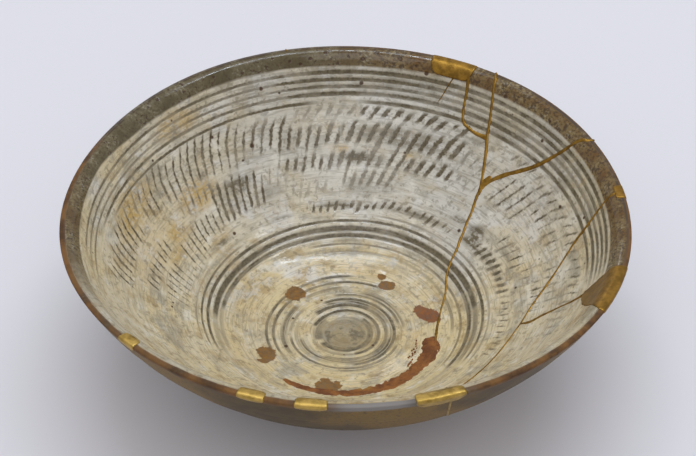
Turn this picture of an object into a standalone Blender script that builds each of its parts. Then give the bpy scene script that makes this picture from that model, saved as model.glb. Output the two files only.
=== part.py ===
"""A shallow stoneware tea bowl, broken at the rim and mended with gold lacquer.

The bowl is turned about +Z and stands on its foot ring, with the origin on the table under
its middle. Its wall lies between two spheres about one focus above the bowl. A place on the
bowl is given as an azimuth in degrees, with +X at 0 and +Y at 90, and a radius in metres,
both read on the inside face. Breaks and chips run through the wall along lines from the
focus, so they stand square to it. Last of all, the lip is moved a little out of true.
"""

import math

import bmesh
import bpy
from mathutils import Vector

# The thrown bowl
RIM_RADIUS = 0.075
LIP_HEIGHT = 0.0520
LIP_THICKNESS = 0.0036
LIP_ROUNDING = 0.0006
FOCUS_ABOVE_LIP = 0.0344
WELL_RADIUS = 0.038
WELL_DROP = 0.00125
FOOT_RADIUS = 0.0272
FOOT_WIDTH = 0.0058
FOOT_TAPER = 0.0012
FOOT_HOLLOW = 0.0028
FOOT_CHAMFER = 0.0005
LOWER_WALL_SWELL = 0.0036
TURN_STEPS = 72

# The mend
SEAM_WIDTH = 0.0006
JOINT_GAP = 0.0003
GOLD_PROUD = 0.00015
WELL_SEAM_DEPTH = 0.0020
SEAM_THROUGH_RADIUS = 0.037
SEAM_END_RADIUS = 0.023
STROKE_DEPTH = 0.0007
STROKE_ZONE = (0.018, 0.034)

# How far the hand-thrown lip strays from a true circle: size, lobes, azimuth of a peak
LIP_OUT = ((0.00027, 2, 21), (0.00049, 3, 84))
LIP_UP = ((0.00052, 1, 68), (0.00042, 2, 80), (0.00039, 4, 36))
OUT_FROM_RADIUS = 0.040
UP_FROM_RADIUS = 0.063

FOCUS = Vector((0, 0, LIP_HEIGHT + FOCUS_ABOVE_LIP))
INNER_LIP = RIM_RADIUS - LIP_THICKNESS
INSIDE_SPHERE = math.hypot(INNER_LIP, FOCUS_ABOVE_LIP)
OUTSIDE_SPHERE = math.hypot(RIM_RADIUS, FOCUS_ABOVE_LIP)
LIP_LEAN = math.atan2(RIM_RADIUS, FOCUS_ABOVE_LIP)
FOOT_LEAN = math.asin((FOOT_RADIUS + FOOT_TAPER) / OUTSIDE_SPHERE)
CUT_FROM = 0.8 * INSIDE_SPHERE
CUT_TO = 1.15 * OUTSIDE_SPHERE

# Break lines, from end to end as azimuth and radius
BACK_SHERD_LEFT = (
    (61.4, 0.0716), (60.5, 0.0692), (60.0, 0.0664), (59.0, 0.0644),
    (57.2, 0.0637), (54.4, 0.0633), (51.0, 0.0634),
)
BACK_BREAK = (
    (55.7, 0.0790), (54.8, 0.0722), (53.4, 0.0690), (52.0, 0.0657), (51.2, 0.0636),
    (50.0, 0.0618), (48.6, 0.0594), (47.0, 0.0568), (45.6, 0.0545), (44.9, 0.0520),
    (43.3, 0.0489), (42.3, 0.0463), (40.9, 0.0440), (39.8, 0.0420), (38.0, 0.0399),
    (35.6, 0.0364), (31.6, 0.0331), (24.0, 0.0304), (14.0, 0.0272), (2.0, 0.0253),
    (-9.0, 0.0250), (-17.0, 0.0256),
)
RIGHT_BACK_BREAK = (
    (24.6, 0.0790), (25.0, 0.0726), (27.4, 0.0702), (30.2, 0.0674), (34.2, 0.0638),
    (38.2, 0.0610), (41.8, 0.0586), (45.8, 0.0550),
)
RIGHT_BREAK = (
    (7.0, 0.0716), (7.2, 0.0692), (6.7, 0.0664), (5.4, 0.0626), (3.6, 0.0602),
    (0.6, 0.0572), (-3.0, 0.0541), (-6.6, 0.0517), (-10.6, 0.0500), (-15.6, 0.0487),
    (-20.0, 0.0477), (-26.0, 0.0469), (-34.0, 0.0465), (-43.0, 0.0466), (-51.0, 0.0476),
    (-58.0, 0.0508), (-63.0, 0.0560), (-67.0, 0.0630), (-70.0, 0.0718),
)
RIGHT_CROSS_BREAK = (
    (-15.5, 0.0486), (-16.5, 0.0512), (-15.8, 0.0540), (-16.2, 0.0580), (-17.2, 0.0620),
    (-17.9, 0.0662),
)
# Where the back breaks meet the gold fills a wedge: azimuth, radius and width along it
BACK_FORK = ((44.9, 0.0578, 0.0034), (45.2, 0.0564, 0.0024), (45.5, 0.0540, 0.0008))

# Chips filled with gold: from one azimuth to another, down to a radius on the inside
RIM_FILLS = {
    "gold_rim_fill_back": (60.7, 70.8, 0.0708),
    "gold_rim_fill_right": (5.2, 9.3, 0.0711),
    "gold_rim_fill_front_right": (-76.6, -66.8, 0.0700),
    "gold_rim_fill_front": (-99.2, -93.0, 0.0700),
    "gold_rim_fill_front_left": (-110.2, -104.8, 0.0700),
    "gold_rim_fill_left": (-137.4, -133.2, 0.0712),
}
CHIP_ABOVE_LIP = 0.0790
RIGHT_LARGE_FILL = (
    (-17.2, 0.0790), (-17.1, 0.0735), (-17.8, 0.0712), (-17.2, 0.0680), (-17.5, 0.0650),
    (-19.4, 0.0650), (-22.4, 0.0659), (-24.6, 0.0675), (-27.0, 0.0696), (-29.4, 0.0712),
    (-30.8, 0.0735), (-30.9, 0.0790),
)

# The red-brown stroke in the well: azimuth, radius and width along its middle
RED_STROKE = (
    (-124.0, 0.0270, 0.0016), (-112.0, 0.0274, 0.0026), (-98.0, 0.0275, 0.0024),
    (-84.0, 0.0268, 0.0034), (-70.0, 0.0262, 0.0052), (-56.0, 0.0258, 0.0054),
    (-42.0, 0.0253, 0.0050), (-30.0, 0.0249, 0.0052), (-19.5, 0.0242, 0.0040),
)


def spherical(azimuth, radius):
    """The direction from the focus to a place on the inside face or, past it, on the lip."""
    if radius < INNER_LIP:
        lean = math.asin(radius / INSIDE_SPHERE)
    else:
        lean = math.atan(radius / FOCUS_ABOVE_LIP)
    turn = math.radians(azimuth)
    return Vector(
        (math.sin(lean) * math.cos(turn), math.sin(lean) * math.sin(turn), -math.cos(lean))
    )


def inside(radius, push=0.0):
    """Radius and height of the inside face, pushed into the wall along a line from the focus."""
    drop = 0.0
    if radius < WELL_RADIUS:
        drop = WELL_DROP * math.sin(math.pi * (radius / WELL_RADIUS) ** 2)
    height = FOCUS.z - math.sqrt(INSIDE_SPHERE**2 - radius**2) - drop
    reach = math.hypot(radius, FOCUS.z - height)
    share = 1 + push / reach
    return radius * share, FOCUS.z - (FOCUS.z - height) * share


def outside(lean, push=0.0):
    """Radius and height of the outside face at a lean from straight down, in radians."""
    swell = LOWER_WALL_SWELL * max(0.0, 1 - lean / math.radians(50)) ** 2
    reach = OUTSIDE_SPHERE + swell + push
    return reach * math.sin(lean), FOCUS.z - reach * math.cos(lean)


def inside_face(start, end, steps, push=0.0):
    return [inside(start + (end - start) * i / steps, push) for i in range(steps + 1)]


def outside_face(start, end, steps, push=0.0):
    return [outside(start + (end - start) * i / steps, push) for i in range(steps + 1)]


def bowl_profile(proud=0.0):
    """From the middle of the underside, out round the foot and lip, to the middle of the well."""
    foot_inner = FOOT_RADIUS - FOOT_WIDTH
    lip_top = LIP_HEIGHT + proud
    wall = outside_face(FOOT_LEAN, LIP_LEAN - LIP_ROUNDING / OUTSIDE_SPHERE, 10, proud)
    well = inside_face(INNER_LIP - LIP_ROUNDING / 2, 0, 15, -proud)
    return [
        (0, FOOT_HOLLOW),
        (foot_inner - FOOT_TAPER, FOOT_HOLLOW - FOOT_CHAMFER),
        (foot_inner, FOOT_CHAMFER),
        (foot_inner + FOOT_CHAMFER, 0),
        (FOOT_RADIUS - FOOT_CHAMFER, 0),
        (FOOT_RADIUS, FOOT_CHAMFER),
        *wall,
        (RIM_RADIUS + proud - LIP_ROUNDING, lip_top),
        (INNER_LIP - proud + LIP_ROUNDING, lip_top),
        *well,
    ]


def turned(name, profile, closed=False):
    """A solid spun from an outline of radius and height."""
    bm = bmesh.new()
    corners = [bm.verts.new((radius, 0, height)) for radius, height in profile]
    sides = list(zip(corners, corners[1:]))
    if closed:
        sides.append((corners[-1], corners[0]))
    edges = [bm.edges.new(side) for side in sides]
    bmesh.ops.spin(
        bm, geom=corners + edges, cent=(0, 0, 0), axis=(0, 0, 1),
        angle=math.tau, steps=TURN_STEPS, use_merge=True,
    )
    bmesh.ops.remove_doubles(bm, verts=bm.verts, dist=1e-6)
    return finished(name, bm)


def finished(name, bm):
    bmesh.ops.recalc_face_normals(bm, faces=bm.faces)
    mesh = bpy.data.meshes.new(name)
    bm.to_mesh(mesh)
    bm.free()
    solid = bpy.data.objects.new(name, mesh)
    bpy.context.collection.objects.link(solid)
    return solid


def cut_through(name, bm):
    """Carries the faces of a patch round the focus out through the wall, as a solid."""
    patch = list(bm.faces)
    grown = bmesh.ops.extrude_face_region(bm, geom=patch, use_keep_orig=True)["geom"]
    outer = [item for item in grown if isinstance(item, bmesh.types.BMVert)]
    for vert in outer:
        vert.co = FOCUS + (vert.co - FOCUS) * (CUT_TO / CUT_FROM)
    return finished(name, bm)


def patch_block(name, outline, inset=0.0):
    """A block through the wall within an outline of azimuths and radii."""
    bm = bmesh.new()
    corners = [bm.verts.new(FOCUS + spherical(*place) * CUT_FROM) for place in outline]
    face = bm.faces.new(corners)
    if inset:
        face.normal_update()
        margin = bmesh.ops.inset_individual(
            bm, faces=[face], thickness=inset * CUT_FROM / INSIDE_SPHERE, use_even_offset=True
        )
        bmesh.ops.delete(bm, geom=margin["faces"], context="FACES")
    bmesh.ops.triangulate(bm, faces=bm.faces)
    return cut_through(name, bm)


def ribbon_block(name, line, clearance=0.0):
    """A curtain through the wall along a line of azimuths, radii and widths."""
    middle = [spherical(azimuth, radius) for azimuth, radius, _ in line]
    last = len(middle) - 1
    bm = bmesh.new()
    rungs = []
    for i, (direction, (_, _, width)) in enumerate(zip(middle, line)):
        along = (middle[min(i + 1, last)] - middle[max(i - 1, 0)]).normalized()
        half = along.cross(direction) * (width / 2 + clearance) / INSIDE_SPHERE
        past_end = along * ((i == last) - (i == 0)) * clearance / INSIDE_SPHERE
        rungs.append(
            [bm.verts.new(FOCUS + (direction + past_end + side) * CUT_FROM) for side in (half, -half)]
        )
    for (left, right), (next_left, next_right) in zip(rungs, rungs[1:]):
        bm.faces.new((left, right, next_right, next_left))
    return cut_through(name, bm)


def boolean(solid, other, operation, keep_other=False):
    """Joins, cuts or keeps the common part of two solids, in place."""
    modifier = solid.modifiers.new(operation.title(), "BOOLEAN")
    modifier.operation = operation
    modifier.object = other
    modifier.solver = "EXACT"
    graph = bpy.context.evaluated_depsgraph_get()
    result = bpy.data.meshes.new_from_object(solid.evaluated_get(graph))
    solid.modifiers.remove(modifier)
    old = solid.data
    solid.data = result
    bpy.data.meshes.remove(old)
    if not keep_other:
        bpy.data.objects.remove(other)


def copy_of(solid, name):
    copy = bpy.data.objects.new(name, solid.data.copy())
    bpy.context.collection.objects.link(copy)
    return copy


def seam(line):
    """A break line's places with a seam's width at each."""
    return [(azimuth, radius, SEAM_WIDTH) for azimuth, radius in line]


def seam_zone(name, clearance):
    """Where seams run: through the wall above, and only part of its depth over the foot."""
    proud = GOLD_PROUD + clearance
    depth = WELL_SEAM_DEPTH + clearance
    through_lean = math.asin((SEAM_THROUGH_RADIUS - clearance) / INSIDE_SPHERE)
    lip_top = LIP_HEIGHT + proud
    outline = [
        *inside_face(SEAM_END_RADIUS - clearance, INNER_LIP, 12, -proud),
        (INNER_LIP - proud, lip_top),
        (RIM_RADIUS + proud, lip_top),
        *outside_face(LIP_LEAN, through_lean, 9, proud),
        *inside_face(SEAM_THROUGH_RADIUS - clearance, SEAM_END_RADIUS - clearance, 4, depth),
    ]
    return turned(name, outline, closed=True)


def seam_network(name, lines, clearance):
    """The curtains of several break lines as one solid."""
    network = ribbon_block(name, lines[0], clearance)
    for line in lines[1:]:
        boolean(network, ribbon_block("curtain", line, clearance), "UNION")
    boolean(network, seam_zone("zone", clearance), "INTERSECT")
    return network


def chip_outline(start, end, low):
    """A bite out of the lip, flat at its foot and rounded at its corners."""
    middle, half = (start + end) / 2, (end - start) / 2
    depth = RIM_RADIUS - low
    bite = []
    for i in range(9):
        swing = math.pi * i / 8
        along = math.copysign(abs(math.cos(swing)) ** 0.5, math.cos(swing))
        bite.append((middle + half * along, RIM_RADIUS - depth * math.sin(swing) ** 0.5))
    return [(end, CHIP_ABOVE_LIP), *bite, (start, CHIP_ABOVE_LIP)]


def stroke_block(name, clearance):
    """The red lacquer stroke's own thickness over the well, as one lens-thin solid."""
    stroke = ribbon_block(name, RED_STROKE, clearance)
    near, far = STROKE_ZONE
    outline = [
        *inside_face(near, far, 6, -GOLD_PROUD - clearance),
        *inside_face(far, near, 6, STROKE_DEPTH + clearance),
    ]
    boolean(stroke, turned("stroke_zone", outline, closed=True), "INTERSECT")
    return stroke


def islands(solid):
    """The separate closed shells of a mesh, each as a mesh of its own."""
    bm = bmesh.new()
    bm.from_mesh(solid.data)
    left = set(bm.verts)
    found = []
    while left:
        shell, edge = set(), [left.pop()]
        while edge:
            vert = edge.pop()
            shell.add(vert)
            for link in vert.link_edges:
                other = link.other_vert(vert)
                if other in left:
                    left.remove(other)
                    edge.append(other)
        piece = bm.copy()
        keep = {vert.index for vert in shell}
        piece.verts.ensure_lookup_table()
        spare = [vert for vert in piece.verts if vert.index not in keep]
        bmesh.ops.delete(piece, geom=spare, context="VERTS")
        found.append(piece)
    bm.free()
    return found


def rise(radius, start):
    """From 0 at a radius to 1 at the rim, easing in and out."""
    share = min(max((radius - start) / (RIM_RADIUS - start), 0.0), 1.0)
    return share * share * (3 - 2 * share)


def waves(lobes, turn):
    return sum(size * math.cos(count * (turn - math.radians(peak))) for size, count, peak in lobes)


def moved_out_of_true(solid):
    """The lip's slight waves, which fade away towards the well."""
    for vert in solid.data.vertices:
        radius = math.hypot(vert.co.x, vert.co.y)
        turn = math.atan2(vert.co.y, vert.co.x)
        out = waves(LIP_OUT, turn) * rise(radius, OUT_FROM_RADIUS)
        vert.co.z += waves(LIP_UP, turn) * rise(radius, UP_FROM_RADIUS)
        vert.co.x += out * math.cos(turn)
        vert.co.y += out * math.sin(turn)


def material(name, colour, roughness, metallic=0.0):
    made = bpy.data.materials.new(name)
    made.use_nodes = True
    shader = made.node_tree.nodes["Principled BSDF"]
    shader.inputs["Base Color"].default_value = (*colour, 1)
    shader.inputs["Roughness"].default_value = roughness
    shader.inputs["Metallic"].default_value = metallic
    return made


def dressed(solid, finish):
    moved_out_of_true(solid)
    solid.data.materials.clear()
    solid.data.materials.append(finish)
    solid.data.shade_smooth()
    solid.data.set_sharp_from_angle(angle=math.radians(35))


for leftover in list(bpy.data.objects):
    bpy.data.objects.remove(leftover)

stoneware = material("slipped_stoneware", (0.50, 0.46, 0.36), 0.3)
gold = material("gold_lacquer", (0.62, 0.42, 0.12), 0.35, 0.9)
red_lacquer = material("red_brown_lacquer", (0.20, 0.06, 0.02), 0.4)

BACK_LINES = [seam(BACK_BREAK), seam(BACK_SHERD_LEFT), seam(RIGHT_BACK_BREAK), BACK_FORK]
RIGHT_LINES = [seam(RIGHT_BREAK), seam(RIGHT_CROSS_BREAK)]
fill_outlines = {name: chip_outline(*chip) for name, chip in RIM_FILLS.items()}
fill_outlines["gold_rim_fill_right_large"] = RIGHT_LARGE_FILL

# The ceramic: one turned bowl, opened along its breaks and chipped at the lip
bowl = turned("bowl", bowl_profile())
boolean(bowl, seam_network("back_breaks", BACK_LINES, JOINT_GAP), "DIFFERENCE")
boolean(bowl, seam_network("right_breaks", RIGHT_LINES, JOINT_GAP), "DIFFERENCE")
boolean(bowl, stroke_block("stroke_bed", JOINT_GAP), "DIFFERENCE")
for outline in fill_outlines.values():
    boolean(bowl, patch_block("chip", outline), "DIFFERENCE")

# Its sherds, each told by a place well inside it
SHERDS = {
    "bowl_body": (180, 0.020),
    "rim_sherd_back_small": (57.5, 0.0690),
    "rim_sherd_back": (40, 0.0680),
    "rim_sherd_right": (-5, 0.0650),
    "rim_sherd_front_right": (-40, 0.0620),
}
pieces = islands(bowl)
for name, (azimuth, radius) in SHERDS.items():
    mark = FOCUS + spherical(azimuth, radius) * INSIDE_SPHERE
    nearest = min(pieces, key=lambda piece: min((vert.co - mark).length for vert in piece.verts))
    pieces.remove(nearest)
    dressed(finished(name, nearest), stoneware)
bpy.data.objects.remove(bowl)

# The gold seams, thin curtains between the sherds
fills = [patch_block("fill_space", outline) for outline in fill_outlines.values()]
for name, lines in (("gold_seams_back", BACK_LINES), ("gold_seams_right", RIGHT_LINES)):
    seams = seam_network(name, lines, 0.0)
    for fill in fills:
        boolean(seams, fill, "DIFFERENCE", keep_other=True)
    dressed(seams, gold)
for fill in fills:
    bpy.data.objects.remove(fill)

# The chips built up again in gold lacquer
gold_bowl = turned("gold_bowl", bowl_profile(GOLD_PROUD))
for name, outline in fill_outlines.items():
    fill = copy_of(gold_bowl, name)
    boolean(fill, patch_block("chip", outline, JOINT_GAP), "INTERSECT")
    dressed(fill, gold)
bpy.data.objects.remove(gold_bowl)

# The red-brown stroke that ends the break in the well
dressed(stroke_block("red_lacquer_stroke", 0.0), red_lacquer)
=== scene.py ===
import math
import random

import bmesh
import bpy
import numpy as np
from mathutils import Matrix, Vector, noise


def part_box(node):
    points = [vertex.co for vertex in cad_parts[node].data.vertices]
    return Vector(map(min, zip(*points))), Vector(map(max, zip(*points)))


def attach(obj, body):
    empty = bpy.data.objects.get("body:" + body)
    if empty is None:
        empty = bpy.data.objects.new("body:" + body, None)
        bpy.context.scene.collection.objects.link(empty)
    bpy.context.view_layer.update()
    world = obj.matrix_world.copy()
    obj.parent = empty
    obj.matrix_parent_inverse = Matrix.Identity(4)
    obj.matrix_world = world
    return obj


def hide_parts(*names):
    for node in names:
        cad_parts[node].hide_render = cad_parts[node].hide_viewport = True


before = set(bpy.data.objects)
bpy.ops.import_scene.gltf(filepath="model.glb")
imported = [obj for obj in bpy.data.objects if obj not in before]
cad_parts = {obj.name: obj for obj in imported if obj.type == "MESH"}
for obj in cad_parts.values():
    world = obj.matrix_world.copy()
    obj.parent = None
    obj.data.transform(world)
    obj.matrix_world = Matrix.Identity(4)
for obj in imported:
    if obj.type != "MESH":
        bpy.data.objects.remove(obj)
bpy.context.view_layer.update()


# --- The thrown bowl ---
# Grey stoneware thrown thin on the wheel, with a rounded lip and a turned foot ring. The wall
# lies between two spheres about one focus above the bowl, so a line from the focus stands square
# to it, and a break that follows such lines runs straight through.

RIM_RADIUS = 0.075
LIP_HEIGHT = 0.0520
LIP_THICKNESS = 0.0036
FOCUS_ABOVE_LIP = 0.0344
WELL_RADIUS = 0.038
WELL_DROP = 0.00125
FOOT_RADIUS = 0.0272
FOOT_WIDTH = 0.0058
FOOT_TAPER = 0.0012
FOOT_HOLLOW = 0.0028
LOWER_WALL_SWELL = 0.0036
TURN_STEPS = 532

# Rings of vertices on the inside, from the middle out: to a radius, in steps of a size
INSIDE_RINGS = (
    (0.0230, 0.00048), (0.0330, 0.00080), (0.0412, 0.00041), (0.0640, 0.00085), (0.0700, 0.00036),
)

FOCUS = Vector((0, 0, LIP_HEIGHT + FOCUS_ABOVE_LIP))
INNER_LIP = RIM_RADIUS - LIP_THICKNESS
INSIDE_SPHERE = math.hypot(INNER_LIP, FOCUS_ABOVE_LIP)
OUTSIDE_SPHERE = math.hypot(RIM_RADIUS, FOCUS_ABOVE_LIP)
LIP_LEAN = math.atan2(RIM_RADIUS, FOCUS_ABOVE_LIP)
FOOT_LEAN = math.asin((FOOT_RADIUS + FOOT_TAPER) / OUTSIDE_SPHERE)
LIP_START = INSIDE_RINGS[-1][0]
# Steps over the lip, in its small outer round and its wide inner one
OUTER_ROUND = 5
INNER_ROUND = 9


def inside(radius, lift=0.0):
    """Radius and height of the inside face, lifted off it along a line to the focus."""
    drop = 0.0
    if radius < WELL_RADIUS:
        drop = WELL_DROP * math.sin(math.pi * (radius / WELL_RADIUS) ** 2)
    height = FOCUS.z - math.sqrt(INSIDE_SPHERE**2 - radius**2) - drop
    share = 1 - lift / math.hypot(radius, FOCUS.z - height)
    return radius * share, FOCUS.z - (FOCUS.z - height) * share


def outside(lean, lift=0.0):
    """Radius and height of the outside face at a lean from straight down, in radians."""
    swell = LOWER_WALL_SWELL * max(0.0, 1 - lean / math.radians(50)) ** 2
    reach = OUTSIDE_SPHERE + swell + lift
    return reach * math.sin(lean), FOCUS.z - reach * math.cos(lean)


def curve(start, corner, end, steps):
    """A round stretch of outline from start to end, drawn towards a corner."""
    points = []
    for i in range(steps + 1):
        share = i / steps
        away, near, far = (1 - share) ** 2, 2 * share * (1 - share), share**2
        points.append(tuple(away * a + near * b + far * c for a, b, c in zip(start, corner, end)))
    return points


def lip(lift=0.0):
    """Over the lip, from the outside face to the inside one."""
    top = LIP_HEIGHT + lift
    below = outside(LIP_LEAN - 0.012, lift)
    outer = curve(below, (RIM_RADIUS + lift, top), (0.0742, top), OUTER_ROUND)
    crown = (0.0738, top + 0.00006)
    inner = curve((0.0734, top), (INNER_LIP - lift, top), inside(LIP_START, lift), INNER_ROUND)
    return [*outer, crown, *inner]


def inside_radii():
    """The radii of the rings of vertices on the inside."""
    radii, start = [0.0], 0.0
    for end, step in INSIDE_RINGS:
        count = round((end - start) / step)
        radii += [start + (end - start) * (i + 1) / count for i in range(count)]
        start = end
    return radii


def bowl_profile(lift=0.0):
    """From the middle of the underside, out round the foot and lip, to the middle of the well."""
    inner = FOOT_RADIUS - FOOT_WIDTH
    rim = FOOT_RADIUS
    round_off = 0.0008
    under = [(inner * i / 4, FOOT_HOLLOW) for i in range(4)]
    bed_start = (inner - FOOT_TAPER - round_off, FOOT_HOLLOW)
    bed = curve(bed_start, (inner - FOOT_TAPER, FOOT_HOLLOW), (inner - 0.0006, 0.0016), 3)
    ring_inner = curve((inner - 0.0002, 0.0007), (inner, 0), (inner + round_off, 0), 3)
    ring_outer = curve((rim - round_off, 0), (rim, 0), (rim + 0.0001, 0.0008), 3)
    foot_top = outside(FOOT_LEAN)
    side = [(rim + FOOT_TAPER * i / 3 * 0.9, foot_top[1] * i / 3) for i in (1, 2)]
    root_start = (rim + FOOT_TAPER * 0.95, foot_top[1] - 0.0009)
    root = curve(root_start, foot_top, outside(FOOT_LEAN + 0.018), 3)
    first, last = FOOT_LEAN + 0.04, LIP_LEAN - 0.03
    wall = [outside(first + (last - first) * i / 18, lift) for i in range(19)]
    well = [inside(radius, lift) for radius in reversed(inside_radii()[:-1])]
    return [*under, *bed, *ring_inner, *ring_outer, *side, *root, *wall, *lip(lift), *well]


def finished(name, bm):
    """A piece of that name, made from the mesh being worked on."""
    bmesh.ops.recalc_face_normals(bm, faces=bm.faces)
    mesh = bpy.data.meshes.new(name)
    bm.to_mesh(mesh)
    bm.free()
    piece = bpy.data.objects.new(name, mesh)
    bpy.context.collection.objects.link(piece)
    return piece


def turned(name, profile, steps):
    """A solid spun from an outline of radius and height."""
    bm = bmesh.new()
    corners = [bm.verts.new((radius, 0, height)) for radius, height in profile]
    edges = [bm.edges.new(pair) for pair in zip(corners, corners[1:])]
    bmesh.ops.spin(
        bm, geom=corners + edges, cent=(0, 0, 0), axis=(0, 0, 1),
        angle=math.tau, steps=steps, use_merge=True,
    )
    bmesh.ops.remove_doubles(bm, verts=bm.verts, dist=1e-6)
    return finished(name, bm)


# --- The breaks ---
# The bowl broke at the rim into four sherds, with chips lost from the lip. Each break is a line
# on the inside face, of azimuths in degrees and radii, with the width of the gold laid over it.

BREAKS = {
    "back": (
        (55.7, 0.0790, 0.9), (54.8, 0.0722, 0.9), (53.4, 0.0690, 0.9), (52.0, 0.0657, 0.95),
        (51.2, 0.0636, 1.1), (50.0, 0.0618, 1.1), (48.6, 0.0594, 1.1), (47.0, 0.0568, 1.1),
        (45.6, 0.0545, 1.2), (44.9, 0.0520, 1.0), (43.3, 0.0489, 1.0), (42.3, 0.0463, 1.0),
        (40.9, 0.0440, 0.9), (39.8, 0.0420, 0.9), (38.0, 0.0399, 0.85), (35.6, 0.0364, 0.75),
        (31.6, 0.0331, 0.7), (24.0, 0.0304, 0.7), (14.0, 0.0272, 0.7), (2.0, 0.0253, 0.9),
        (-9.0, 0.0250, 0.9), (-17.0, 0.0256, 0.6),
    ),
    "back_sherd_left": (
        (61.4, 0.0716, 1.6), (60.5, 0.0692, 1.0), (60.0, 0.0664, 0.9), (59.0, 0.0644, 1.0),
        (57.2, 0.0637, 1.0), (54.4, 0.0633, 1.1), (51.0, 0.0634, 1.6),
    ),
    "right_back": (
        (24.6, 0.0790, 1.0), (25.0, 0.0726, 1.0), (27.4, 0.0702, 1.1), (30.2, 0.0674, 1.2),
        (34.2, 0.0638, 1.3), (38.2, 0.0610, 1.4), (41.8, 0.0586, 1.5), (45.8, 0.0550, 1.7),
    ),
    "right": (
        (7.0, 0.0720, 1.0), (7.2, 0.0692, 0.9), (6.7, 0.0664, 0.9), (5.4, 0.0626, 1.0),
        (3.6, 0.0602, 1.0), (0.6, 0.0572, 0.9), (-3.0, 0.0541, 0.9), (-6.6, 0.0517, 0.85),
        (-10.6, 0.0500, 0.85), (-15.6, 0.0487, 0.9), (-20.0, 0.0477, 0.8), (-26.0, 0.0469, 0.7),
        (-34.0, 0.0465, 0.65), (-43.0, 0.0466, 0.6), (-51.0, 0.0476, 0.6), (-58.0, 0.0508, 0.6),
        (-63.0, 0.0560, 0.6), (-67.0, 0.0630, 0.7), (-70.0, 0.0718, 0.8),
    ),
    "right_cross": (
        (-15.5, 0.0486, 0.9), (-16.5, 0.0512, 1.3), (-15.8, 0.0540, 0.9), (-16.2, 0.0580, 0.8),
        (-17.2, 0.0620, 0.9), (-17.9, 0.0662, 1.2),
    ),
}
# Below this radius the wall is too thick for a break to show outside
THROUGH_RADIUS = 0.037
JOINT_WIDTH = 0.0005

# Chips in the lip: from one azimuth to another, down to a radius on the inside
CHIPS = {
    "gold_rim_fill_back": (60.2, 70.8, 0.0699),
    "gold_rim_fill_right": (5.2, 9.3, 0.0716),
    "gold_rim_fill_front_right": (-76.6, -66.8, 0.0706),
    "gold_rim_fill_front": (-99.2, -93.0, 0.0712),
    "gold_rim_fill_front_left": (-110.2, -104.8, 0.0712),
    "gold_rim_fill_left": (-137.4, -133.2, 0.0712),
}
CHIP_ABOVE_LIP = 0.0790
RIGHT_LARGE_CHIP = (
    (-16.2, 0.0790), (-16.2, 0.0735), (-16.4, 0.0712), (-16.3, 0.0680), (-16.8, 0.0646),
    (-19.2, 0.0644), (-22.4, 0.0655), (-24.8, 0.0671), (-27.2, 0.0692), (-29.6, 0.0709),
    (-30.9, 0.0735), (-31.0, 0.0790),
)
CUT_FROM = 0.85 * INSIDE_SPHERE
CUT_TO = 1.12 * OUTSIDE_SPHERE


def lean_of(radius):
    """The lean from straight down of a line from the focus to the inside face or the lip."""
    if radius < INNER_LIP:
        return math.asin(radius / INSIDE_SPHERE)
    return math.atan(radius / FOCUS_ABOVE_LIP)


def direction(azimuth, radius):
    """From the focus to a place on the inside face or, past it, on the lip."""
    lean, turn = lean_of(radius), math.radians(azimuth)
    return Vector(
        (math.sin(lean) * math.cos(turn), math.sin(lean) * math.sin(turn), -math.cos(lean))
    )


def smooth_line(points, spacing):
    """A line's points drawn through as one curve, close together."""
    line = []
    ends = [points[0], *points, points[-1]]
    for before, start, end, after in zip(ends, ends[1:], ends[2:], ends[3:]):
        gap = (direction(*end[:2]) - direction(*start[:2])).length * INSIDE_SPHERE
        count = max(1, round(gap / spacing))
        for i in range(count):
            t = i / count
            line.append(tuple(
                0.5 * (2 * b + (c - a) * t + (2 * a - 5 * b + 4 * c - d) * t**2
                       + (3 * b - a - 3 * c + d) * t**3)
                for a, b, c, d in zip(before, start, end, after)
            ))
    return [*line, points[-1]]


def cut_through(name, bm):
    """Carries the faces of a patch round the focus out through the wall, as a solid."""
    grown = bmesh.ops.extrude_face_region(bm, geom=list(bm.faces), use_keep_orig=True)["geom"]
    for item in grown:
        if isinstance(item, bmesh.types.BMVert):
            item.co = FOCUS + (item.co - FOCUS) * (CUT_TO / CUT_FROM)
    return finished(name, bm)


def across(rays, i):
    """Level with the wall and square to a line of rays, at one of them."""
    along = (rays[min(i + 1, len(rays) - 1)] - rays[max(i - 1, 0)]).normalized()
    return along.cross(rays[i])


def joint_cut(name, line):
    """A thin curtain through the wall along a break."""
    line = [place for place in smooth_line(line, 0.0015) if place[1] > THROUGH_RADIUS]
    rays = [direction(azimuth, radius) for azimuth, radius, _ in line]
    bm = bmesh.new()
    rungs = []
    for i, ray in enumerate(rays):
        half = across(rays, i) * JOINT_WIDTH / 2 / INSIDE_SPHERE
        rungs.append([bm.verts.new(FOCUS + (ray + side) * CUT_FROM) for side in (half, -half)])
    for (left, right), (next_left, next_right) in zip(rungs, rungs[1:]):
        bm.faces.new((left, right, next_right, next_left))
    return cut_through(name, bm)


def chip_outline(start, end, low):
    """A bite out of the lip, flat at its foot and rounded at its corners."""
    centre, half = (start + end) / 2, (end - start) / 2
    squareness = 0.35
    bite = []
    for i in range(13):
        swing = math.pi * i / 12
        along = math.copysign(abs(math.cos(swing)) ** squareness, math.cos(swing))
        depth = (RIM_RADIUS - low) * math.sin(swing) ** squareness
        bite.append((centre + half * along, RIM_RADIUS - depth))
    return [(end, CHIP_ABOVE_LIP), *bite, (start, CHIP_ABOVE_LIP)]


def chip_cut(name, outline):
    """A block through the wall that takes a chip out of the lip."""
    bm = bmesh.new()
    bm.faces.new([bm.verts.new(FOCUS + direction(*place) * CUT_FROM) for place in outline])
    bmesh.ops.triangulate(bm, faces=bm.faces)
    return cut_through(name, bm)


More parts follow.
